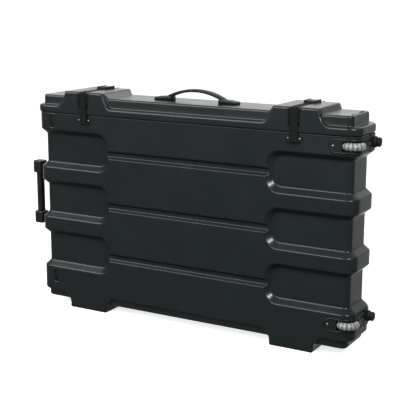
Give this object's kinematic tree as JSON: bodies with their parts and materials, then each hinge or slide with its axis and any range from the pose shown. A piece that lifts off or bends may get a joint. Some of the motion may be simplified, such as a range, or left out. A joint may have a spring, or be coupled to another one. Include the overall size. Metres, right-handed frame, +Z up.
{
  "type": "wheeled equipment transport case",
  "caption": "Slim upright roto-moulded transport case with a strapped lift-off lid, corner wheels, pull-out tow handle and an arched carry handle.",
  "frame": {"origin": "on the floor, half way between the tow grip's tip and the bumpers' tips, at mid depth", "axes": "+Z up; +X along the length towards the wheeled end; the front faces -Y"},
  "size_m": [1.314, 0.1934, 0.807],
  "materials": {
    "shell_plastic": "roto-moulded polyethylene, soft satin with a fine grain",
    "lining_foam": "closed-cell foam lining",
    "black_rubber": "matt rubber",
    "wheel_urethane": "milky translucent urethane",
    "wheel_hub_nylon": "pale nylon",
    "zinc_steel": "bright zinc",
    "black_steel": "black powder coat",
    "webbing": "woven nylon webbing",
    "tube_aluminium": "black anodised",
    "grip_rubber": "satin moulded rubber",
    "hardware_plastic": "black moulded nylon"
  },
  "bodies": {
    "base": {"base_shell": "shell_plastic", "foam_bottom": "lining_foam", "foam_rear": "lining_foam", "foam_front": "lining_foam", "foam_end_right": "lining_foam", "foam_end_left": "lining_foam", "wheel_bracket_upper": "hardware_plastic", "wheel_bracket_lower": "hardware_plastic", "wheel_axle_upper": "zinc_steel", "wheel_axle_lower": "zinc_steel", "wheel_bracket_screws": "zinc_steel", "bumper_plate_upper": "hardware_plastic", "bumper_plate_lower": "hardware_plastic", "bumper_foot_upper": "black_rubber", "bumper_foot_lower": "black_rubber", "bumper_screws": "zinc_steel", "tow_sleeve_upper": "hardware_plastic", "tow_sleeve_lower": "hardware_plastic", "strap_lower_left": "webbing", "strap_lower_right": "webbing", "strap_anchors_left": "black_steel", "strap_anchors_right": "black_steel", "strap_anchor_screws": "zinc_steel"},
    "lid": {"lid_shell": "shell_plastic", "lid_gasket": "black_rubber", "foam_lid": "lining_foam", "strap_upper_left": "webbing", "strap_upper_right": "webbing", "buckle_frame_left": "black_steel", "buckle_frame_right": "black_steel", "buckle_pin_left": "zinc_steel", "buckle_pin_right": "zinc_steel", "carry_handle_grip": "grip_rubber", "carry_handle_cap_left": "hardware_plastic", "carry_handle_cap_right": "hardware_plastic", "carry_handle_backing_plates": "zinc_steel", "carry_handle_screws": "zinc_steel"},
    "buckle_lever_left": {"buckle_lever_left": "black_steel"},
    "buckle_lever_right": {"buckle_lever_right": "black_steel"},
    "upper_wheel": {"wheel_tyre_upper": "wheel_urethane", "wheel_hub_upper": "wheel_hub_nylon", "wheel_bearings_upper": "zinc_steel"},
    "lower_wheel": {"wheel_tyre_lower": "wheel_urethane", "wheel_hub_lower": "wheel_hub_nylon", "wheel_bearings_lower": "zinc_steel"},
    "tow_middle": {"tow_middle_tubes": "tube_aluminium"},
    "tow_grip": {"tow_grip_tubes": "tube_aluminium", "tow_block_upper": "hardware_plastic", "tow_block_lower": "hardware_plastic", "tow_grip_bar": "grip_rubber"}
  },
  "joints": [
    {"name": "lid_lift", "type": "slide", "parent": "base", "child": "lid", "axis": [0, 0, 1], "range_m": [0, 0.25]},
    {"name": "upper_wheel_spin", "type": "hinge", "parent": "base", "child": "upper_wheel", "pos_m": [0.613, -0.062, 0.673], "axis": [0, 0, 1], "continuous": true},
    {"name": "lower_wheel_spin", "type": "hinge", "parent": "base", "child": "lower_wheel", "pos_m": [0.613, -0.062, 0.108], "axis": [0, 0, 1], "continuous": true},
    {"name": "tow_middle_slide", "type": "slide", "parent": "base", "child": "tow_middle", "axis": [-1, 0, 0], "range_m": [0, 0.095]},
    {"name": "tow_grip_slide", "type": "slide", "parent": "tow_middle", "child": "tow_grip", "axis": [-1, 0, 0], "range_m": [0, 0.095]},
    {"name": "buckle_lever_left_turn", "type": "hinge", "parent": "lid", "child": "buckle_lever_left", "pos_m": [-0.369, 0.029, 0.788], "axis": [1, 0, 0], "range_deg": [0, 80], "stiffness_Nm_per_rad": 0.05},
    {"name": "buckle_lever_right_turn", "type": "hinge", "parent": "lid", "child": "buckle_lever_right", "pos_m": [0.427, 0.029, 0.788], "axis": [1, 0, 0], "range_deg": [0, 80], "stiffness_Nm_per_rad": 0.05}
  ]
}
